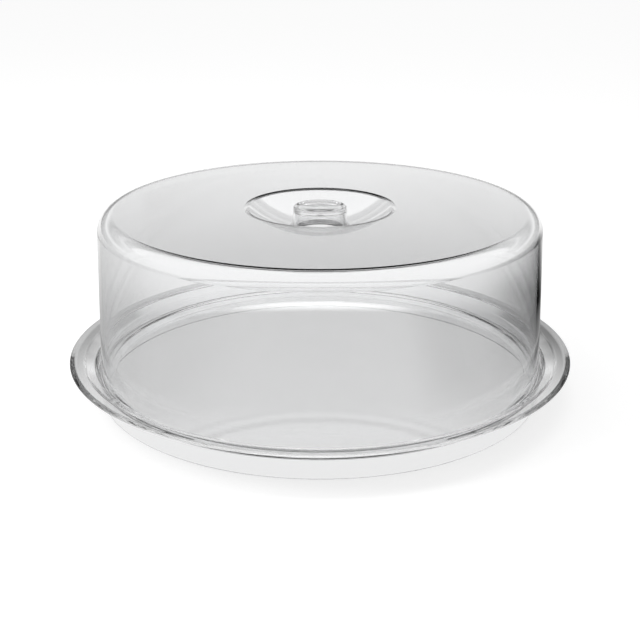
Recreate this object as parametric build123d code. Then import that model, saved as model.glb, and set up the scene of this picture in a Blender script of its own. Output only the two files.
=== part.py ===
from build123d import *
from math import hypot, radians, sqrt, tan
import os

# Cake carrier: a clear lift-off cover with a sunk finger knob, standing in a wide-rimmed tray.
#
# Both pieces are clear injection mouldings, and bodies of revolution about the vertical axis.
# The origin is on the table, at the middle of the tray's foot ring, and +Z points up.  Sizes are
# in millimetres and angles in degrees.  A section is drawn with the radius from the axis first
# and the height above the table second.

# Driving dimensions of the cover
COVER_FOOT_DIAMETER = 299.2  # outside of the side wall, at the open edge
COVER_HEIGHT = 108.0  # open edge to the flat top
COVER_WALL = 2.4  # thickness of the side wall, the top and the bowl
COVER_DRAFT = 1.75  # lean of the side wall, so that it leaves its mould
SHOULDER_RADIUS = 11.0  # outside round from the side wall into the top
OPEN_EDGE_ROUND = 0.6  # both corners of the open edge

BOWL_DIAMETER = 97.4  # across the finger bowl, where it would meet the flat top in a sharp edge
BOWL_DEPTH = 17.0  # flat top to the lowest point of the bowl
BOWL_EDGE_ROUND = 3.1  # underside of the flat top into the back of the bowl

KNOB_DIAMETER = 35.2  # across the knob's top
KNOB_STAND = 0.3  # knob's top above the flat top
KNOB_DRAFT = 4.5  # lean of the stem, which widens towards the bowl
KNOB_WALL = 2.4  # thickness of the hollow stem
KNOB_TOP_THICKNESS = 2.4  # thickness of the knob's top, under the middle of its dish
KNOB_RIM_WIDTH = 3.0  # raised rim round the dish
KNOB_DISH_DEPTH = 0.9  # rim to the lowest point of the dish
KNOB_EDGE_ROUND = 1.2  # outside corner of the rim
KNOB_ROOT_ROUND = 2.5  # from the stem into the bowl
KNOB_HOLLOW_ROUND = 1.2  # corners inside the stem
GATE_DIAMETER = 3.2  # sunk disc where the plastic enters the mould
GATE_DEPTH = 0.4  # depth of that disc below the dish

# Driving dimensions of the tray
SEAT_CLEARANCE = 1.0  # all round, from the cover's side wall to the guide wall
TRAY_WALL = 2.4  # thickness of the tray's sheet
FLOOR_HEIGHT = 14.0  # table to the upper face of the floor
LEDGE_RISE = 2.8  # floor to the ledge that the cover stands on
LEDGE_MARGIN = 2.4  # how far the ledge reaches inside the cover's side wall
RISER_RUN = 4.2  # level run of the slope from the floor up to the ledge
GUIDE_HEIGHT = 4.9  # ledge to the top of the guide wall that centres the cover
GUIDE_LEAN = 1.2  # how far that wall leans out over its height, to lead the cover in
APRON_WIDTH = 8.2  # shallow slope from the guide wall out to the rim band
APRON_RISE = 3.8  # height that the slope gains
RIM_BAND_WIDTH = 10.0  # flat band that the tray is carried by
RIM_TAPER = 3.8  # outer stretch of the band whose underside rises to a thin edge
RIM_EDGE_WALL = 0.9  # thickness of that edge
SKIRT_WALL = 2.4  # thickness of the skirt that the tray stands on
FOOT_INSET = 4.2  # how far the skirt leans in, from the apron down to the table

SLOPE_FOOT_ROUND = 3.0  # floor into the slope
SLOPE_TOP_ROUND = 2.6  # slope into the ledge
SEAT_ROUND = 0.8  # ledge into the guide wall, and its underside into the skirt
GUIDE_TOP_ROUND = 2.0  # guide wall into the apron
CREASE_ROUND = 4.0  # apron into the rim band
TAPER_ROUND = 6.0  # underside of the rim band into its taper
RIM_EDGE_ROUND = 0.35  # both corners of the tray's outer edge
SKIRT_ROOT_ROUND = 1.5  # underside of the apron into the skirt
FOOT_ROUND = 0.9  # both corners of the foot ring

# Sizes that seat the cover in the tray
COVER_FOOT_RADIUS = COVER_FOOT_DIAMETER / 2
LEDGE_HEIGHT = FLOOR_HEIGHT + LEDGE_RISE
COVER_TOP = LEDGE_HEIGHT + COVER_HEIGHT
KNOB_TOP = COVER_TOP + KNOB_STAND
GUIDE_RADIUS = COVER_FOOT_RADIUS + SEAT_CLEARANCE
LEDGE_EDGE_RADIUS = COVER_FOOT_RADIUS - COVER_WALL - LEDGE_MARGIN


def ball_radius(chord: float, depth: float) -> float:
    """Return the radius of the ball that presses a dish of this chord and depth."""
    return (chord**2 / 4 + depth**2) / (2 * depth)


def disc(height: float, radius: float) -> Sketch:
    """Return a full disc that is centred on the axis at this height."""
    return Pos(0, height) * Circle(radius)


def filled(*corners: tuple[float, float]) -> Sketch:
    """Return the area inside straight lines from corner to corner."""
    return make_face(Polyline(*corners, close=True))


def rounded(section: Sketch, corner: tuple[float, float], radius: float) -> Sketch:
    """Return the section with a round on the vertex that lies nearest to this corner."""
    vertex = section.vertices().sort_by_distance((*corner, 0))[0]
    return fillet(vertex, radius)


def spun(section: Sketch) -> Part:
    """Return the half section turned once round the vertical axis."""
    return revolve(Plane.XZ * section, axis=Axis.Z, revolution_arc=360)


def tray_section() -> Sketch:
    """Return the tray's half section: floor, ledge, guide wall, apron, rim band and skirt."""
    apron_foot = LEDGE_HEIGHT + GUIDE_HEIGHT
    guide_top_radius = GUIDE_RADIUS + GUIDE_LEAN
    apron_radius = guide_top_radius + APRON_WIDTH
    rim_height = apron_foot + APRON_RISE
    rim_radius = apron_radius + RIM_BAND_WIDTH

    # The apron's underside runs parallel to its upper face, one wall below it.
    slope = APRON_RISE / APRON_WIDTH
    apron_drop = TRAY_WALL * hypot(1, slope)
    crease_shift = (apron_drop - TRAY_WALL) / slope
    skirt_radius = guide_top_radius + TRAY_WALL
    skirt_height = apron_foot + slope * TRAY_WALL - apron_drop

    # So does the underside of the slope up to the ledge.
    floor_underside = FLOOR_HEIGHT - TRAY_WALL
    ledge_underside = LEDGE_HEIGHT - TRAY_WALL
    slope_shift = TRAY_WALL * (hypot(RISER_RUN, LEDGE_RISE) - RISER_RUN) / LEDGE_RISE
    slope_back = LEDGE_EDGE_RADIUS + slope_shift
    foot_radius = skirt_radius - FOOT_INSET
    foot_inner_radius = foot_radius - SKIRT_WALL
    skirt_inner_radius = foot_inner_radius + FOOT_INSET * ledge_underside / skirt_height

    corners_and_rounds = [
        ((0, FLOOR_HEIGHT), 0),
        ((LEDGE_EDGE_RADIUS - RISER_RUN, FLOOR_HEIGHT), SLOPE_FOOT_ROUND),
        ((LEDGE_EDGE_RADIUS, LEDGE_HEIGHT), SLOPE_TOP_ROUND),
        ((GUIDE_RADIUS, LEDGE_HEIGHT), SEAT_ROUND),
        ((guide_top_radius, apron_foot), GUIDE_TOP_ROUND),
        ((apron_radius, rim_height), CREASE_ROUND),
        ((rim_radius, rim_height), RIM_EDGE_ROUND),
        ((rim_radius, rim_height - RIM_EDGE_WALL), RIM_EDGE_ROUND),
        ((rim_radius - RIM_TAPER, rim_height - TRAY_WALL), TAPER_ROUND),
        ((apron_radius + crease_shift, rim_height - TRAY_WALL), CREASE_ROUND),
        ((skirt_radius, skirt_height), SKIRT_ROOT_ROUND),
        ((foot_radius, 0), FOOT_ROUND),
        ((foot_inner_radius, 0), FOOT_ROUND),
        ((skirt_inner_radius, ledge_underside), SEAT_ROUND),
        ((slope_back, ledge_underside), SLOPE_TOP_ROUND),
        ((slope_back - RISER_RUN, floor_underside), SLOPE_FOOT_ROUND),
        ((0, floor_underside), 0),
    ]
    outline = FilletPolyline(
        *[corner for corner, _ in corners_and_rounds],
        radius=[size for _, size in corners_and_rounds],
        close=True,
    )
    return make_face(outline)


def dome_section(inset: float) -> Sketch:
    """Return the filled dome, as far inside the cover's outer face as the inset says."""
    lean = tan(radians(COVER_DRAFT))
    top = COVER_TOP - inset
    foot_radius = COVER_FOOT_RADIUS - inset * hypot(1, lean)
    shoulder = (foot_radius - lean * (top - LEDGE_HEIGHT), top)
    dome = filled((0, LEDGE_HEIGHT), (foot_radius, LEDGE_HEIGHT), shoulder, (0, top))
    return rounded(dome, shoulder, SHOULDER_RADIUS - inset)


def stem_radius(inset: float, height: float) -> float:
    """Return the radius of the knob's stem at a height, inside its outer face by the inset."""
    lean = tan(radians(KNOB_DRAFT))
    return KNOB_DIAMETER / 2 - inset * hypot(1, lean) + lean * (KNOB_TOP - height)


def stem_section(inset: float, foot: float, top: float) -> Sketch:
    """Return the filled stem from foot to top, inside the knob's outer face by the inset."""
    return filled((0, foot), (stem_radius(inset, foot), foot), (stem_radius(inset, top), top), (0, top))


def cover_section() -> Sketch:
    """Return the cover's half section: dome, finger bowl and hollow knob in one sheet."""
    bowl_ball = ball_radius(BOWL_DIAMETER, BOWL_DEPTH)
    bowl_foot = COVER_TOP - BOWL_DEPTH
    bowl_centre = bowl_foot + bowl_ball
    back_ball = bowl_ball + COVER_WALL
    bowl_back = disc(bowl_centre, back_ball)
    shell = dome_section(0) - (dome_section(COVER_WALL) - bowl_back) - disc(bowl_centre, bowl_ball)

    # The stem and its hollow both start below the bowl, so that they end on its curved faces.
    stem_foot = bowl_foot - 2 * COVER_WALL
    dish_foot = KNOB_TOP - KNOB_DISH_DEPTH
    ceiling = dish_foot - KNOB_TOP_THICKNESS
    stem = stem_section(0, stem_foot, KNOB_TOP) & bowl_back
    stem_hollow = stem_section(KNOB_WALL, stem_foot, ceiling)
    ceiling_corner = (stem_radius(KNOB_WALL, ceiling), ceiling)
    stem_hollow = rounded(stem_hollow, ceiling_corner, KNOB_HOLLOW_ROUND)
    dish_ball = ball_radius(KNOB_DIAMETER - 2 * KNOB_RIM_WIDTH, KNOB_DISH_DEPTH)
    dish = disc(dish_foot + dish_ball, dish_ball)
    gate = Pos(0, dish_foot) * Rectangle(GATE_DIAMETER, 2 * GATE_DEPTH)
    section = shell + stem - stem_hollow - dish - gate

    top_underside = COVER_TOP - COVER_WALL
    back_edge = sqrt(back_ball**2 - (bowl_centre - top_underside) ** 2)
    root_radius = stem_radius(0, bowl_foot)
    mouth_radius = stem_radius(KNOB_WALL, bowl_foot)
    foot_inner_radius = COVER_FOOT_RADIUS - COVER_WALL

    # The rounds on both faces of the bowl's edge share a centre, so the wall stays even there.
    corners_and_rounds = [
        ((COVER_FOOT_RADIUS, LEDGE_HEIGHT), OPEN_EDGE_ROUND),
        ((foot_inner_radius, LEDGE_HEIGHT), OPEN_EDGE_ROUND),
        ((BOWL_DIAMETER / 2, COVER_TOP), BOWL_EDGE_ROUND + COVER_WALL),
        ((back_edge, top_underside), BOWL_EDGE_ROUND),
        ((KNOB_DIAMETER / 2, KNOB_TOP), KNOB_EDGE_ROUND),
        ((root_radius, bowl_centre - sqrt(bowl_ball**2 - root_radius**2)), KNOB_ROOT_ROUND),
        ((mouth_radius, bowl_centre - sqrt(back_ball**2 - mouth_radius**2)), KNOB_HOLLOW_ROUND),
    ]
    for corner, size in corners_and_rounds:
        section = rounded(section, corner, size)
    return section


def main() -> None:
    """Write one STEP file for each piece."""
    os.makedirs("parts", exist_ok=True)
    for name, section in (("tray", tray_section()), ("cover", cover_section())):
        export_step(spun(section), f"parts/{name}.step")


main()
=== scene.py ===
"""A clear cake carrier: a lift-off cover with a sunk finger knob, standing in a wide-rimmed tray."""

import logging
import math
from dataclasses import dataclass
from enum import Enum
from typing import Sequence, Union

import bpy
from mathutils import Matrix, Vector


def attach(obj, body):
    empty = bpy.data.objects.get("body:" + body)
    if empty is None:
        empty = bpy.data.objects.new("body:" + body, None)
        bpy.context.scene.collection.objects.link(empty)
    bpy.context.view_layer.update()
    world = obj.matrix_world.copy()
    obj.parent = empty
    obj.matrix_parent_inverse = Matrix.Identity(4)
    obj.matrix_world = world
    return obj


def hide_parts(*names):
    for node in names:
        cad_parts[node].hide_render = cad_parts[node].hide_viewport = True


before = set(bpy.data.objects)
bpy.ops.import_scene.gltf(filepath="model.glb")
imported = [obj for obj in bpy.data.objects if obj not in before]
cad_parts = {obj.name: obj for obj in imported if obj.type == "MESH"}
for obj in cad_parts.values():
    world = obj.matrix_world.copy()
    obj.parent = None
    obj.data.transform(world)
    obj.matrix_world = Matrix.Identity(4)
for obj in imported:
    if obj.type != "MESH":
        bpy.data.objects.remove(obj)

LOG = logging.getLogger("cake_carrier")

MM = 0.001  # the sections are drawn in millimetres, and Blender works in metres
RIGHT_ANGLE = 90.0  # degrees

Socket = bpy.types.NodeSocket
Value = Union[Socket, float]
Triple = tuple[float, float, float]


class Body(Enum):
    """The bodies that the pieces ride on."""

    TRAY = "base"
    COVER = "lid"


# ---------------------------------------------------------------------------------------------
# Drawing and turning a half section
# ---------------------------------------------------------------------------------------------


def point(radius: float, height: float) -> Vector:
    """Return a point of a half section: radius from the axis and height above the table, in mm."""
    return Vector((radius, height))


@dataclass(frozen=True)
class Corner:
    """A corner of a section, and the radius of the round on it (0 leaves it sharp), in mm."""

    at: Vector
    round: float = 0.0


class HalfSection:
    """One chain of edges in the plane of +X and +Z, drawn point after point and then turned."""

    STEPS_PER_TURN = 600  # faces round the axis
    ARC_STEP = math.radians(9.0)  # widest turn of one edge in a round
    FEWEST_STEPS = 2  # edges in the shortest arc
    WELD = 0.002 * MM  # points nearer than this are one point
    SHARP = math.radians(35.0)  # edges that turn more than this stay sharp
    FLATS_FIRST = 100  # how strongly the large faces hold their normals

    def __init__(self, name: str, start: Vector) -> None:
        """Start the chain.

        Args:
            name: Name of the piece that the section becomes.
            start: First point of the chain, on the axis.
        """
        bpy.ops.object.select_all(action="DESELECT")
        bpy.ops.mesh.primitive_plane_add(size=MM, location=(start.x * MM, 0.0, start.y * MM))
        self.piece: bpy.types.Object = bpy.context.object
        self.piece.name = name
        self.piece.data.name = name
        bpy.ops.object.transform_apply(location=True, rotation=True, scale=True)
        bpy.ops.object.mode_set(mode="EDIT")
        bpy.ops.mesh.select_mode(type="VERT")
        bpy.ops.mesh.select_all(action="SELECT")
        bpy.ops.mesh.merge(type="CENTER")
        self.pen = start.copy()

    def line(self, end: Vector) -> None:
        """Draw a straight stretch.

        Args:
            end: Where the stretch ends.
        """
        step = end - self.pen
        bpy.ops.mesh.extrude_region_move(
            TRANSFORM_OT_translate={"value": (step.x * MM, 0.0, step.y * MM)}
        )
        self.pen = end.copy()

    def arc(self, centre: Vector, end: Vector, widest_step: float = ARC_STEP) -> None:
        """Draw the shorter arc round a centre.

        Args:
            centre: Centre of the arc.
            end: Where the arc ends, as far from the centre as it starts.
            widest_step: Widest turn of one edge, in radians.
        """
        turn = (self.pen - centre).angle_signed(end - centre)
        bpy.ops.mesh.spin(
            steps=max(self.FEWEST_STEPS, math.ceil(abs(turn) / widest_step)),
            angle=turn,
            center=(centre.x * MM, 0.0, centre.y * MM),
            axis=(0.0, -1.0, 0.0),
        )
        self.pen = end.copy()

    def through(self, corners: Sequence[Corner], end: Vector) -> None:
        """Draw straight stretches from corner to corner, each with its round.

        Args:
            corners: The corners, in order.
            end: Where the last stretch ends.
        """
        ends = [corner.at for corner in corners[1:]] + [end]
        for corner, following in zip(corners, ends):
            back = (self.pen - corner.at).normalized()
            onward = (following - corner.at).normalized()
            half = back.angle(onward) / 2
            reach = corner.round / math.tan(half)
            self.line(corner.at + back * reach)
            if corner.round:
                centre = corner.at + (back + onward).normalized() * corner.round / math.sin(half)
                self.arc(centre, corner.at + onward * reach)
        self.line(end)

    def turned(self) -> bpy.types.Object:
        """Turn the chain once round the axis and weld it.

        Returns:
            The closed piece, with its faces outwards and smooth except at sharp edges.
        """
        bpy.ops.mesh.select_all(action="SELECT")
        bpy.ops.mesh.spin(
            steps=self.STEPS_PER_TURN,
            angle=math.tau,
            center=(0.0, 0.0, 0.0),
            axis=(0.0, 0.0, 1.0),
            use_auto_merge=True,
        )
        bpy.ops.mesh.select_all(action="SELECT")
        bpy.ops.mesh.remove_doubles(threshold=self.WELD)
        bpy.ops.mesh.normals_make_consistent(inside=False)
        bpy.ops.object.mode_set(mode="OBJECT")
        bpy.ops.object.shade_smooth_by_angle(angle=self.SHARP)
        weighted = self.piece.modifiers.new("flats keep their normals", "WEIGHTED_NORMAL")
        weighted.keep_sharp = True
        weighted.weight = self.FLATS_FIRST
        bpy.ops.object.modifier_apply(modifier=weighted.name)
        return self.piece


def ball_radius(chord: float, depth: float) -> float:
    """Return the radius of the ball that presses a dish of this chord and depth."""
    return (chord**2 / 4 + depth**2) / (2 * depth)


def under(ball_centre: Vector, radius: float, side: float) -> Vector:
    """Return the point of a ball's lower half at this distance from the axis."""
    return point(side, ball_centre.y - math.sqrt(radius**2 - side**2))


# ---------------------------------------------------------------------------------------------
# Node graphs
# ---------------------------------------------------------------------------------------------


class Step(Enum):
    """The arithmetic steps that the graphs use."""

    ADD = "ADD"
    TAKE = "SUBTRACT"
    TIMES = "MULTIPLY"
    TIMES_ADD = "MULTIPLY_ADD"
    OVER = "DIVIDE"
    LARGER = "MAXIMUM"
    LESS = "LESS_THAN"
    ROOT = "SQRT"
    SIZE = "ABSOLUTE"


class Coordinates(Enum):
    """What a place is measured in."""

    PIECE = "Object"
    ROOM = "Generated"


class Graph:
    """Short words for the nodes that the finishes and the studio use."""

    FIRST_MEETING = 0.5  # between no matt surface met and one

    def __init__(self, tree: bpy.types.NodeTree) -> None:
        """Work on this node tree."""
        self.tree = tree

    def add(self, kind: str) -> bpy.types.Node:
        """Return a new node of this kind."""
        return self.tree.nodes.new(kind)

    def feed(self, socket: Socket, value: Value) -> None:
        """Link a socket to another one, or set it to a number.

        Args:
            socket: The socket that takes the value.
            value: The other socket, or the number.
        """
        if isinstance(value, (int, float)):
            socket.default_value = value
        else:
            self.tree.links.new(value, socket)

    def math(self, step: Step, *values: Value) -> Socket:
        """Take one arithmetic step.

        Args:
            step: The step.
            values: What it works on, in order.

        Returns:
            The result.
        """
        node = self.add("ShaderNodeMath")
        node.operation = step.value
        for socket, value in zip(node.inputs, values):
            self.feed(socket, value)
        return node.outputs[0]

    def eased(self, value: Value, start: float, end: float, low: float, high: float) -> Socket:
        """Change smoothly from one number to another.

        Args:
            value: What the change follows.
            start: The value up to which the result is low.
            end: The value from which the result is high.
            low: The result before the change.
            high: The result after it.

        Returns:
            The result.
        """
        node = self.add("ShaderNodeMapRange")
        node.interpolation_type = "SMOOTHSTEP"
        for socket, number in zip(node.inputs, (value, start, end, low, high)):
            self.feed(socket, number)
        return node.outputs[0]

    def split(self, vector: Socket) -> bpy.types.NodeOutputs:
        """Take a vector apart.

        Args:
            vector: The vector.

        Returns:
            Its X, Y and Z.
        """
        node = self.add("ShaderNodeSeparateXYZ")
        self.tree.links.new(vector, node.inputs[0])
        return node.outputs

    def place(self, coordinates: Coordinates = Coordinates.PIECE) -> Socket:
        """Return the place on the surface, or the direction in a room."""
        return self.add("ShaderNodeTexCoord").outputs[coordinates.value]

    def stretched(self, vector: Socket, scale: Triple, turn: float) -> Socket:
        """Turn a place and then stretch it.

        Args:
            vector: The place.
            scale: How much it is scaled along X, Y and Z.
            turn: How far it is turned about Z first, in degrees.

        Returns:
            The new place.
        """
        turned = self.add("ShaderNodeMapping")
        turned.inputs["Rotation"].default_value = (0.0, 0.0, math.radians(turn))
        self.tree.links.new(vector, turned.inputs["Vector"])
        scaled = self.add("ShaderNodeMapping")
        scaled.inputs["Scale"].default_value = scale
        self.tree.links.new(turned.outputs[0], scaled.inputs["Vector"])
        return scaled.outputs[0]

    def noise(self, vector: Socket, scale: float, detail: float) -> Socket:
        """Make soft noise.

        Args:
            vector: Where the noise is read.
            scale: Lumps to a metre.
            detail: How many finer layers it has.

        Returns:
            The noise, from 0 to 1.
        """
        node = self.add("ShaderNodeTexNoise")
        node.inputs["Scale"].default_value = scale
        node.inputs["Detail"].default_value = detail
        self.tree.links.new(vector, node.inputs["Vector"])
        return node.outputs[0]

    def bump(self, height: Socket, distance: float) -> bpy.types.Node:
        """Raise the surface by a height.

        Args:
            height: How high each place stands, from 0 to 1.
            distance: What 1 comes to, in metres.

        Returns:
            The bump node.
        """
        node = self.add("ShaderNodeBump")
        node.inputs["Distance"].default_value = distance
        self.feed(node.inputs["Height"], height)
        return node

    def rays(self) -> bpy.types.NodeOutputs:
        """Return what the light path node tells of a ray."""
        return self.add("ShaderNodeLightPath").outputs

    def undiffused(self) -> Socket:
        """Return 1 for a ray that has met no matt surface since the camera, and else 0."""
        return self.math(Step.LESS, self.rays()["Diffuse Depth"], self.FIRST_MEETING)

    def opposite(self, value: Socket) -> Socket:
        """Return 1 less this value."""
        return self.math(Step.TAKE, 1.0, value)


# ---------------------------------------------------------------------------------------------
# Finish
# ---------------------------------------------------------------------------------------------


@dataclass(frozen=True)
class ClearPlastic:
    """Polished clear moulding: slightly wavy, with faint scuffs where hands and cloths rub it."""

    name: str
    tint: Triple = (0.92, 0.922, 0.925)
    refraction: float = 1.57
    polish: float = 0.0  # roughness of the untouched surface
    scuffed: float = 0.05  # roughness in a scuff
    patch_scale: float = 22.0  # scuffed patches to a metre
    patch_detail: float = 4.0
    patch_from: float = 0.5  # noise at which a patch begins
    patch_to: float = 0.7
    hair_turns: Triple = (12.0, 71.0, 133.0)  # ways in which the hairlines run, in degrees
    hair_stretch: Triple = (9.0, 520.0, 60.0)  # hairlines to a metre along, across and upwards
    hair_detail: float = 3.0
    hair_from: float = 0.63  # noise at which a hairline begins
    hair_to: float = 0.70
    hair_depth: float = 0.0000003  # metres
    wave_scale: float = 14.0  # slow waves to a metre, left by cooling
    wave_detail: float = 1.0
    wave_height: float = 0.000006  # metres

    def scuffs(self, graph: Graph, place: Socket) -> Socket:
        """Scatter hairlines over worn patches.

        Args:
            graph: The graph that they are drawn in.
            place: The place on the surface.

        Returns:
            How scuffed each place is, from 0 to 1.
        """
        wear = graph.noise(place, self.patch_scale, self.patch_detail)
        patches = graph.eased(wear, self.patch_from, self.patch_to, 0.0, 1.0)
        lines: Value = 0.0
        for turn in self.hair_turns:
            grain = graph.noise(graph.stretched(place, self.hair_stretch, turn), 1.0, self.hair_detail)
            hairs = graph.eased(grain, self.hair_from, self.hair_to, 0.0, 1.0)
            lines = graph.math(Step.LARGER, lines, hairs)
        return graph.math(Step.TIMES, patches, lines)

    def material(self) -> bpy.types.Material:
        """Mix the plastic.

        Returns:
            The finish as a material.
        """
        made = bpy.data.materials.new(self.name)
        made.use_nodes = True
        graph = Graph(made.node_tree)
        shader = made.node_tree.nodes["Principled BSDF"].inputs
        shader["Base Color"].default_value = (*self.tint, 1.0)
        shader["Transmission Weight"].default_value = 1.0
        shader["IOR"].default_value = self.refraction
        place = graph.place()
        scuffs = self.scuffs(graph, place)
        graph.feed(shader["Roughness"], graph.eased(scuffs, 0.0, 1.0, self.polish, self.scuffed))
        waves = graph.bump(graph.noise(place, self.wave_scale, self.wave_detail), self.wave_height)
        scratches = graph.bump(scuffs, self.hair_depth)
        scratches.invert = True
        graph.feed(scratches.inputs["Normal"], waves.outputs[0])
        graph.feed(shader["Normal"], scratches.outputs[0])
        return made


# ---------------------------------------------------------------------------------------------
# The two mouldings
# ---------------------------------------------------------------------------------------------


@dataclass
class Moulding:
    """What the tray and the cover share: a node that they stand for, a body and a finish."""

    node: str
    body: Body
    finish: ClearPlastic

    def dressed(self, piece: bpy.types.Object) -> bpy.types.Object:
        """Give a piece its finish, and let it stand for its CAD node.

        Args:
            piece: The finished mesh.

        Returns:
            The same piece.
        """
        piece.data.materials.append(self.finish.material())
        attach(piece, self.body.value)
        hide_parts(self.node)
        LOG.info("%s: %d faces", piece.name, len(piece.data.polygons))
        return piece


@dataclass
class TrayMoulding(Moulding):
    """The tray: floor, ledge for the cover, guide wall, sloped apron, rim band and skirt, in mm."""

    wall: float = 2.4
    floor_height: float = 14.0
    ledge_edge_radius: float = 144.8
    riser_run: float = 4.2  # level run of the slope from the floor up to the ledge
    ledge_height: float = 16.8
    guide_radius: float = 150.6
    guide_lean: float = 1.2
    apron_foot: float = 21.7
    apron_width: float = 8.2
    rim_height: float = 25.5
    rim_radius: float = 170.0
    rim_taper: float = 3.8  # outer stretch of the rim whose underside rises to a thin edge
    rim_edge_wall: float = 0.9
    skirt_wall: float = 2.4
    foot_inset: float = 4.2
    slope_foot_round: float = 3.0
    slope_top_round: float = 2.6
    seat_round: float = 0.8
    guide_top_round: float = 2.0
    crease_round: float = 4.0
    taper_round: float = 6.0
    rim_edge_round: float = 0.35
    skirt_root_round: float = 1.5
    foot_round: float = 0.9

    def __post_init__(self) -> None:
        """Work out the places that the other sizes give."""
        self.guide_top_radius = self.guide_radius + self.guide_lean
        self.apron_radius = self.guide_top_radius + self.apron_width
        self.slope = (self.rim_height - self.apron_foot) / self.apron_width
        self.drop = self.wall * math.hypot(1.0, self.slope)  # straight down through the apron
        self.rim_back = self.rim_height - self.wall
        self.skirt_radius = self.guide_top_radius + self.wall
        self.skirt_height = self.apron_foot + self.slope * self.wall - self.drop

    def upper_corners(self) -> list[Corner]:
        """Return the corners of the upper face, from the floor out to the rim's outer edge."""
        floor_edge = self.ledge_edge_radius - self.riser_run
        return [
            Corner(point(floor_edge, self.floor_height), self.slope_foot_round),
            Corner(point(self.ledge_edge_radius, self.ledge_height), self.slope_top_round),
            Corner(point(self.guide_radius, self.ledge_height), self.seat_round),
            Corner(point(self.guide_top_radius, self.apron_foot), self.guide_top_round),
            Corner(point(self.apron_radius, self.rim_height), self.crease_round),
            Corner(point(self.rim_radius, self.rim_height), self.rim_edge_round),
        ]

    def rim_corners(self) -> list[Corner]:
        """Return the corners under the rim and the apron, from the outer edge to the skirt."""
        crease = self.apron_radius + (self.drop - self.wall) / self.slope
        taper_start = self.rim_radius - self.rim_taper
        return [
            Corner(point(self.rim_radius, self.rim_height - self.rim_edge_wall), self.rim_edge_round),
            Corner(point(taper_start, self.rim_back), self.taper_round),
            Corner(point(crease, self.rim_back), self.crease_round),
            Corner(point(self.skirt_radius, self.skirt_height), self.skirt_root_round),
        ]

    def lower_corners(self) -> list[Corner]:
        """Return the corners of the skirt's foot and inside, and of the floor's underside."""
        ledge_back = self.ledge_height - self.wall
        floor_back = self.floor_height - self.wall
        rise = self.ledge_height - self.floor_height
        shift = self.wall * (math.hypot(self.riser_run, rise) - self.riser_run) / rise
        slope_back = self.ledge_edge_radius + shift
        foot_radius = self.skirt_radius - self.foot_inset
        foot_inner = foot_radius - self.skirt_wall
        skirt_inner = foot_inner + self.foot_inset * ledge_back / self.skirt_height
        return [
            Corner(point(foot_radius, 0.0), self.foot_round),
            Corner(point(foot_inner, 0.0), self.foot_round),
            Corner(point(skirt_inner, ledge_back), self.seat_round),
            Corner(point(slope_back, ledge_back), self.slope_top_round),
            Corner(point(slope_back - self.riser_run, floor_back), self.slope_foot_round),
        ]

    def build(self) -> bpy.types.Object:
        """Draw, turn and dress the tray.

        Returns:
            The finished tray.
        """
        section = HalfSection("tray_moulding", point(0.0, self.floor_height))
        corners = self.upper_corners() + self.rim_corners() + self.lower_corners()
        section.through(corners, point(0.0, self.floor_height - self.wall))
        return self.dressed(section.turned())


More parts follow.
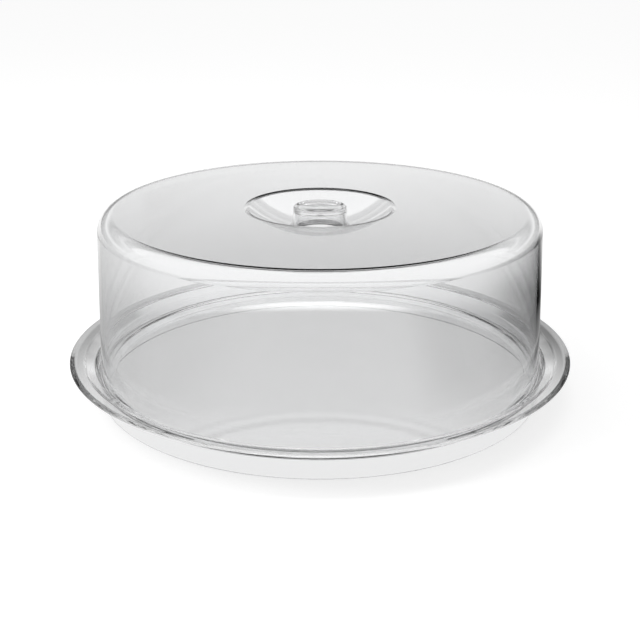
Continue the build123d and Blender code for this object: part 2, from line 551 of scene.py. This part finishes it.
@dataclass
class CoverMoulding(Moulding):
    """The cover: side wall, shoulder, flat top, finger bowl and hollow knob in one sheet, in mm."""

    open_edge_radius: float = 149.6
    open_edge_height: float = 16.8
    top_height: float = 124.8
    wall: float = 2.4
    draft: float = 1.75  # degrees
    shoulder_round: float = 11.0
    open_edge_round: float = 0.6
    bowl_diameter: float = 97.4
    bowl_depth: float = 17.0
    bowl_edge_round: float = 5.5
    bowl_step: float = 1.2  # widest turn of one edge in the bowl, in degrees
    knob_diameter: float = 35.2
    knob_stand: float = 0.3
    knob_draft: float = 4.5  # degrees
    knob_wall: float = 2.4
    knob_top_thickness: float = 2.4
    knob_rim_width: float = 3.0
    knob_dish_depth: float = 0.9
    knob_dish_step: float = 1.5  # widest turn of one edge in the dish, in degrees
    knob_edge_round: float = 1.2
    knob_root_round: float = 2.5
    knob_hollow_round: float = 1.2
    gate_diameter: float = 3.2
    gate_depth: float = 0.4

    def __post_init__(self) -> None:
        """Work out the places that the other sizes give."""
        self.bowl_ball = ball_radius(self.bowl_diameter, self.bowl_depth)
        self.bowl_centre = point(0.0, self.top_height - self.bowl_depth + self.bowl_ball)
        self.back_ball = self.bowl_ball + self.wall
        self.knob_top = self.top_height + self.knob_stand
        self.dish_foot = self.knob_top - self.knob_dish_depth
        self.gate_foot = self.dish_foot - self.gate_depth
        self.ceiling = self.dish_foot - self.knob_top_thickness

    def stem_radius(self, inset: float, height: float) -> float:
        """Return the stem's radius at a height, inside its outer face by the inset."""
        lean = math.tan(math.radians(self.knob_draft))
        return self.knob_diameter / 2 - inset * math.hypot(1.0, lean) + lean * (self.knob_top - height)

    def beside_stem(self, inset: float, gap: float, reach: float) -> tuple[Vector, Vector]:
        """Find the round between the stem and the bowl.

        Args:
            inset: How far inside the stem's outer face the wall lies.
            gap: Radius of the round, on the outside of that wall.
            reach: Distance of the round's centre from the bowl's centre.

        Returns:
            The centre of the round, and where it leaves the stem.
        """
        draft = math.radians(self.knob_draft)
        outward = Vector((math.cos(draft), math.sin(draft)))
        along = Vector((outward.y, -outward.x))
        foot = point(self.stem_radius(inset, self.bowl_centre.y), self.bowl_centre.y) + outward * gap
        start = foot - self.bowl_centre
        forward = start.dot(along)
        centre = foot + along * (-forward + math.sqrt(forward**2 - start.length_squared + reach**2))
        return centre, centre - outward * gap

    def knob_root(self) -> tuple[Vector, Vector]:
        """Return the centre of the round at the knob's root, and where it leaves the stem."""
        return self.beside_stem(0.0, self.knob_root_round, self.bowl_ball - self.knob_root_round)

    def hollow_mouth(self) -> tuple[Vector, Vector]:
        """Return the centre of the round at the hollow's mouth, and where it leaves the stem."""
        reach = self.back_ball - self.knob_hollow_round
        return self.beside_stem(self.knob_wall, self.knob_hollow_round, reach)

    def bowl_edge(self) -> Vector:
        """Find the round from the flat top into the bowl.

        Returns:
            Its centre, which both faces of the wall share.
        """
        height = self.top_height - self.bowl_edge_round
        reach = self.bowl_ball + self.bowl_edge_round
        return point(math.sqrt(reach**2 - (height - self.bowl_centre.y) ** 2), height)

    def toward_ball(self, centre: Vector, radius: float) -> Vector:
        """Return where a line from the bowl's centre through this one meets a ball round it."""
        return self.bowl_centre + (centre - self.bowl_centre).normalized() * radius

    def wall_point(self, inset: float, height: float) -> Vector:
        """Find a point of the side wall.

        Args:
            inset: How far inside the wall's outer face it lies.
            height: Its height.

        Returns:
            The point.
        """
        lean = math.tan(math.radians(self.draft))
        foot = self.open_edge_radius - inset * math.hypot(1.0, lean)
        return point(foot - lean * (height - self.open_edge_height), height)

    def draw_knob(self, section: HalfSection) -> None:
        """Draw the knob, from the middle of the gate mark out and down to its root.

        Args:
            section: The section, with its pen at the middle of the gate mark.
        """
        gate_radius = self.gate_diameter / 2
        dish_radius = self.knob_diameter / 2 - self.knob_rim_width
        ball = ball_radius(2 * dish_radius, self.knob_dish_depth)
        ball_centre = point(0.0, self.dish_foot + ball)
        section.line(point(gate_radius, self.gate_foot))
        section.line(under(ball_centre, ball, gate_radius))
        dish_rim = point(dish_radius, self.knob_top)
        section.arc(ball_centre, dish_rim, math.radians(self.knob_dish_step))
        knob_edge = Corner(point(self.knob_diameter / 2, self.knob_top), self.knob_edge_round)
        _, root_start = self.knob_root()
        section.through([knob_edge], root_start)

    def draw_bowl(self, section: HalfSection) -> None:
        """Draw the bowl, from the knob's root up to the edge of the flat top.

        Args:
            section: The section, with its pen at the knob's root.
        """
        root, _ = self.knob_root()
        section.arc(root, self.toward_ball(root, self.bowl_ball))
        edge = self.bowl_edge()
        bowl_top = self.toward_ball(edge, self.bowl_ball)
        section.arc(self.bowl_centre, bowl_top, math.radians(self.bowl_step))
        section.arc(edge, point(edge.x, self.top_height))

    def draw_side(self, section: HalfSection) -> None:
        """Draw the shoulder and the side wall, down to the open edge, up inside it and back.

        Args:
            section: The section, with its pen at the bowl's edge on the flat top.
        """
        inner_top = self.top_height - self.wall
        back_edge = self.bowl_edge()
        corners = [
            Corner(self.wall_point(0.0, self.top_height), self.shoulder_round),
            Corner(self.wall_point(0.0, self.open_edge_height), self.open_edge_round),
            Corner(self.wall_point(self.wall, self.open_edge_height), self.open_edge_round),
            Corner(self.wall_point(self.wall, inner_top), self.shoulder_round - self.wall),
        ]
        section.through(corners, point(back_edge.x, inner_top))
        section.arc(back_edge, self.toward_ball(back_edge, self.back_ball))

    def draw_hollow(self, section: HalfSection) -> None:
        """Draw the back of the bowl and the hollow inside the stem, up to the ceiling's middle.

        Args:
            section: The section, with its pen where the back of the bowl begins.
        """
        mouth, leave = self.hollow_mouth()
        bowl_foot = self.toward_ball(mouth, self.back_ball)
        section.arc(self.bowl_centre, bowl_foot, math.radians(self.bowl_step))
        section.arc(mouth, leave)
        corner = point(self.stem_radius(self.knob_wall, self.ceiling), self.ceiling)
        section.through([Corner(corner, self.knob_hollow_round)], point(0.0, self.ceiling))

    def build(self) -> bpy.types.Object:
        """Draw, turn and dress the cover.

        Returns:
            The finished cover.
        """
        section = HalfSection("cover_moulding", point(0.0, self.gate_foot))
        self.draw_knob(section)
        self.draw_bowl(section)
        self.draw_side(section)
        self.draw_hollow(section)
        return self.dressed(section.turned())


# ---------------------------------------------------------------------------------------------
# Studio
# ---------------------------------------------------------------------------------------------


@dataclass(frozen=True)
class Softbox:
    """A rectangular lamp that points at the part, with sizes in metres and power in watts."""

    name: str
    place: Triple
    width: float
    depth: float
    power: float

    def build(self, target: Vector) -> None:
        """Hang the lamp.

        Args:
            target: The place that it points at.
        """
        lamp = bpy.data.lights.new(self.name, "AREA")
        lamp.shape = "RECTANGLE"
        lamp.size = self.width
        lamp.size_y = self.depth
        lamp.energy = self.power
        holder = bpy.data.objects.new(self.name, lamp)
        bpy.context.scene.collection.objects.link(holder)
        holder.location = self.place
        holder.rotation_euler = (target - holder.location).to_track_quat("-Z", "Y").to_euler()
        holder.visible_camera = False
        holder.visible_glossy = False
        holder.visible_transmission = False


@dataclass(frozen=True)
class Paper:
    """The floor's paper: a soft grey that is lifted to white where it is seen.

    Rays that come through the part, or off it, see light and shade painted on the paper: bright under,
    before and behind the part, dim beside it, and black in a painted shade at its right.
    """

    colour: float = 0.45
    roughness: float = 0.9
    grain_scale: float = 300.0  # specks to a metre
    grain_detail: float = 3.0
    grain_from: float = 0.3  # noise at which a speck is darkest
    grain_to: float = 0.7
    grain_shade: float = 0.97  # of the colour, in the darkest specks
    lift: float = 0.76  # added where the camera sees it
    dim: float = 0.35  # painted shade: share of the paper's own light that other rays see
    under: float = 0.87  # painted light added under the tray
    middle: float = 0.90  # painted light added before and behind the tray
    left: float = 0.32  # painted light added at the left of the tray
    right: float = 0.1  # painted light added at the right of the tray
    tray_radius: float = 0.15  # metres
    glow_width: float = 0.05  # over which the painted light under the tray passes into the rest, in metres
    side_from: float = 0.45  # share of the way from straight ahead to the side where the painted light dims
    side_to: float = 0.95
    painted_shade_near: float = 0.21  # metres from the axis where the painted shade at the right starts
    painted_shade_far: float = 0.29
    painted_shade_from: float = 0.55  # share of the way from straight ahead to the right, where the painted shade comes in
    painted_shade_to: float = 0.85

    def glow(self, graph: Graph, sideways: Socket, out: Socket) -> Socket:
        """Paint light on the paper for the rays that come through the part or off it.

        Args:
            graph: The graph that the light is worked out in.
            sideways: Share of the way from straight ahead to the right, less than 0 at the left.
            out: Distance from the axis, in metres.

        Returns:
            The painted light added, before the painted shade.
        """
        left = graph.eased(sideways, -self.side_to, -self.side_from, self.left - self.middle, 0.0)
        right = graph.eased(sideways, self.side_from, self.side_to, 0.0, self.right - self.middle)
        beside = graph.math(Step.ADD, graph.math(Step.ADD, self.middle, left), right)
        outside = graph.eased(out, self.tray_radius, self.tray_radius + self.glow_width, 0.0, 1.0)
        inside = graph.math(Step.TIMES, graph.opposite(outside), self.under)
        return graph.math(Step.TIMES_ADD, outside, beside, inside)

    def outside_painted_shade(self, graph: Graph, sideways: Socket, out: Socket) -> Socket:
        """Mark the shade painted on the paper at the right of the part, far from the axis.

        Args:
            graph: The graph that the shade is worked out in.
            sideways: Share of the way from straight ahead to the right, less than 0 at the left.
            out: Distance from the axis, in metres.

        Returns:
            0 in the painted shade, and else 1.
        """
        # Painted shade: rays through or off the part see the paper black here, though nothing stands
        # there to cast it.
        right = graph.eased(sideways, self.painted_shade_from, self.painted_shade_to, 0.0, 1.0)
        far = graph.eased(out, self.painted_shade_near, self.painted_shade_far, 0.0, 1.0)
        return graph.opposite(graph.math(Step.TIMES, right, far))

    def material(self) -> bpy.types.Material:
        """Mix the paper.

        Returns:
            The finish as a material.
        """
        made = bpy.data.materials.new("pale_paper")
        made.use_nodes = True
        graph = Graph(made.node_tree)
        shader = made.node_tree.nodes["Principled BSDF"].inputs
        place = graph.place()
        x, y, _ = graph.split(place)
        squares = graph.math(Step.TIMES_ADD, x, x, graph.math(Step.TIMES, y, y))
        out = graph.math(Step.ROOT, squares)
        sideways = graph.math(Step.OVER, x, out)
        camera = graph.rays()["Is Camera Ray"]
        # Rays other than the camera's, cut out where the shade is painted at the right.
        lit = graph.math(Step.TIMES, graph.opposite(camera), self.outside_painted_shade(graph, sideways, out))
        specks = graph.noise(place, self.grain_scale, self.grain_detail)
        darkest = self.grain_shade * self.colour
        grain = graph.eased(specks, self.grain_from, self.grain_to, darkest, self.colour)
        # Painted shade: rays other than the camera's see the paper's colour dimmed, and black in the
        # painted shade at the right.
        own = graph.math(Step.TIMES_ADD, lit, self.dim, camera)
        colour = graph.add("ShaderNodeCombineColor")
        for socket in colour.inputs:
            graph.feed(socket, graph.math(Step.TIMES, grain, own))
        graph.feed(shader["Base Color"], colour.outputs[0])
        shader["Roughness"].default_value = self.roughness
        shader["Specular IOR Level"].default_value = 0.0
        shader["Emission Color"].default_value = (1.0, 1.0, 1.0, 1.0)
        # Painted light on the paper, seen by rays through or off the part, and cut out in the painted
        # shade.
        glow = graph.math(Step.TIMES, self.glow(graph, sideways, out), lit)
        lift = graph.math(Step.TIMES_ADD, camera, self.lift, glow)
        graph.feed(shader["Emission Strength"], graph.math(Step.TIMES, lift, graph.undiffused()))
        return made


def rise_at(degrees: float) -> float:
    """Return how far a direction rises at this elevation, from 0 to 1."""
    return math.sin(math.radians(degrees))


@dataclass(frozen=True)
class Room:
    """The room round the part: a backdrop that fades upwards, a dark gap, and a bright ceiling.

    Elevations are in degrees. "Behind" is what stands behind the part, and all else is the front.
    """

    horizon: float = 0.35
    backdrop: float = 0.9  # brightest stretch of the backdrop, over the horizon
    backdrop_top: float = 0.1  # just under the backdrop's upper edge
    backdrop_from: float = 9.0  # elevations between which it brightens
    backdrop_full: float = 12.0
    backdrop_to: float = 18.8  # elevation where it has faded
    edge: float = 19.7  # elevation of its upper edge
    edge_softness: float = 0.2  # elevation on both sides of that edge
    strip: float = 2.4  # bright strip along the backdrop's upper edge
    strip_from: float = 19.0  # elevations between which it starts
    strip_full: float = 19.3
    strip_side: float = 0.07  # how far it reaches sideways, for 1 ahead
    strip_end: float = 0.14
    dusk: float = 0.2  # just over the backdrop
    glow: float = 0.55  # soft band over the dusk, under the dark gap
    glow_from: float = 24.0  # elevations between which it comes in
    glow_to: float = 25.5
    gap_from: float = 27.0  # elevations between which it ends in the gap
    gap_to: float = 29.0
    front: float = 1.2
    front_near: float = 0.2  # how far ahead a direction points where the front ends
    front_far: float = 0.7
    ceiling: float = 1.35
    ceiling_from: float = 41.0  # elevations between which the ceiling comes in, straight ahead
    ceiling_to: float = 45.0
    ceiling_low: float = 0.4  # rises between which it comes in everywhere
    ceiling_high: float = 0.5
    ambient: float = 0.4  # what matt surfaces get from the room
    least_ahead: float = 0.01  # keeps the shares below finite at the sides

    def backdrop_light(self, graph: Graph, across: Socket, ahead: Socket, rise: Socket) -> Socket:
        """Light the backdrop and the strip along its upper edge.

        Args:
            graph: The graph that the light is worked out in.
            across: How far the direction points to the right.
            ahead: How far it points ahead, and at least least_ahead.
            rise: How far it points upwards.

        Returns:
            The light.
        """
        foot = graph.eased(
            rise,
            rise_at(self.backdrop_from),
            rise_at(self.backdrop_full),
            self.horizon - self.backdrop,
            0.0,
        )
        fading = graph.eased(
            rise,
            rise_at(self.backdrop_full),
            rise_at(self.backdrop_to),
            self.backdrop,
            self.backdrop_top,
        )
        backdrop = graph.math(Step.ADD, foot, fading)
        strip = graph.eased(rise, rise_at(self.strip_from), rise_at(self.strip_full), 0.0, self.strip)
        sideways = graph.math(Step.OVER, graph.math(Step.SIZE, across), ahead)
        near = graph.eased(sideways, self.strip_side, self.strip_end, 1.0, 0.0)
        return graph.math(Step.LARGER, backdrop, graph.math(Step.TIMES, strip, near))

    def dusk_light(self, graph: Graph, rise: Socket) -> Socket:
        """Light the wall over the backdrop, up to the dark gap.

        Args:
            graph: The graph that the light is worked out in.
            rise: How far the direction points upwards.

        Returns:
            The light.
        """
        glow_from, glow_to = rise_at(self.glow_from), rise_at(self.glow_to)
        dusk = graph.eased(rise, glow_from, glow_to, self.dusk, self.glow)
        ungapped = graph.eased(rise, rise_at(self.gap_from), rise_at(self.gap_to), 1.0, 0.0)
        return graph.math(Step.TIMES, dusk, ungapped)

    def ceiling_light(self, graph: Graph, ahead: Socket, rise: Socket) -> Socket:
        """Light the ceiling.

        Args:
            graph: The graph that the light is worked out in.
            ahead: How far the direction points ahead, and at least least_ahead.
            rise: How far it points upwards.

        Returns:
            The light.
        """
        steepness = graph.math(Step.OVER, rise, ahead)
        start = math.tan(math.radians(self.ceiling_from))
        end = math.tan(math.radians(self.ceiling_to))
        steep = graph.eased(steepness, start, end, 0.0, self.ceiling)
        high = graph.eased(rise, self.ceiling_low, self.ceiling_high, 0.0, 1.0)
        return graph.math(Step.TIMES, steep, high)

    def build(self) -> None:
        """Make the room the scene's world."""
        world = bpy.data.worlds.new("studio_room")
        world.use_nodes = True
        bpy.context.scene.world = world
        graph = Graph(world.node_tree)
        across, along, rise = graph.split(graph.place(Coordinates.ROOM))
        ahead = graph.math(Step.LARGER, along, self.least_ahead)
        backdrop = self.backdrop_light(graph, across, ahead, rise)
        low = rise_at(self.edge - self.edge_softness)
        high = rise_at(self.edge + self.edge_softness)
        below = graph.eased(rise, low, high, 1.0, 0.0)
        above = graph.math(Step.TIMES, graph.opposite(below), self.dusk_light(graph, rise))
        behind = graph.math(Step.TIMES_ADD, backdrop, below, above)
        front = graph.eased(along, self.front_near, self.front_far, 1.0, 0.0)
        brighter = graph.math(Step.TAKE, self.front, behind)
        around = graph.math(Step.TIMES_ADD, front, brighter, behind)
        seen = graph.math(Step.LARGER, around, self.ceiling_light(graph, ahead, rise))
        seen = graph.math(Step.LARGER, seen, graph.rays()["Is Camera Ray"])
        undiffused = graph.undiffused()
        matt = graph.math(Step.TIMES, graph.opposite(undiffused), self.ambient)
        light = graph.math(Step.TIMES_ADD, undiffused, seen, matt)
        graph.feed(world.node_tree.nodes["Background"].inputs["Color"], light)


@dataclass(frozen=True)
class Studio:
    """The pale floor, the room and the soft lamps, with sizes in metres."""

    paper: Paper = Paper()
    room: Room = Room()
    overhead: Softbox = Softbox("overhead_softbox", (0.0, 0.0, 1.25), 1.0, 0.3, 3.0)
    key: Softbox = Softbox("key_softbox", (-0.9, -0.1, 0.7), 0.8, 0.6, 6.0)
    target: Triple = (0.0, 0.0, 0.06)  # what the lamps point at
    floor_width: float = 12.0
    floor_gap: float = 0.2 * MM  # between the floor and the foot ring
    bounces: int = 28  # that light may take inside the clear walls

    def build_floor(self) -> None:
        """Lay the floor just under the foot ring."""
        bpy.ops.object.select_all(action="DESELECT")
        bpy.ops.mesh.primitive_plane_add(size=self.floor_width, location=(0.0, 0.0, -self.floor_gap))
        floor = bpy.context.object
        floor.name = "studio_floor"
        bpy.ops.object.transform_apply(location=True, rotation=True, scale=True)
        floor.data.materials.append(self.paper.material())

    def build(self) -> None:
        """Make the whole studio."""
        self.build_floor()
        self.room.build()
        self.overhead.build(Vector(self.target))
        self.key.build(Vector(self.target))
        scene = bpy.context.scene
        scene.view_settings.view_transform = "Standard"
        scene.cycles.max_bounces = self.bounces
        scene.cycles.transmission_bounces = self.bounces
        scene.cycles.glossy_bounces = self.bounces


@dataclass(frozen=True)
class ViewCamera:
    """The camera, with its place in metres and its angles in degrees."""

    distance: float = 0.7821  # from the part's axis, level
    height: float = 0.332
    pitch: float = 20.2  # below the horizon
    sensor: float = 36.0  # mm
    lens: float = 68.26  # mm

    def build(self) -> None:
        """Set the camera up and make it the scene's own."""
        camera = bpy.data.cameras.new("view_camera")
        camera.sensor_width = self.sensor
        camera.lens = self.lens
        holder = bpy.data.objects.new("view_camera", camera)
        bpy.context.scene.collection.objects.link(holder)
        holder.location = (0.0, -self.distance, self.height)
        holder.rotation_euler = (math.radians(RIGHT_ANGLE - self.pitch), 0.0, 0.0)
        bpy.context.scene.camera = holder


def main() -> None:
    """Build the pieces, the studio and the camera."""
    logging.basicConfig(level=logging.INFO)
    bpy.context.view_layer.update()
    TrayMoulding("tray", Body.TRAY, ClearPlastic("clear_tray")).build()
    CoverMoulding("cover", Body.COVER, ClearPlastic("clear_cover")).build()
    Studio().build()
    ViewCamera().build()


if __name__ == "__main__":
    main()
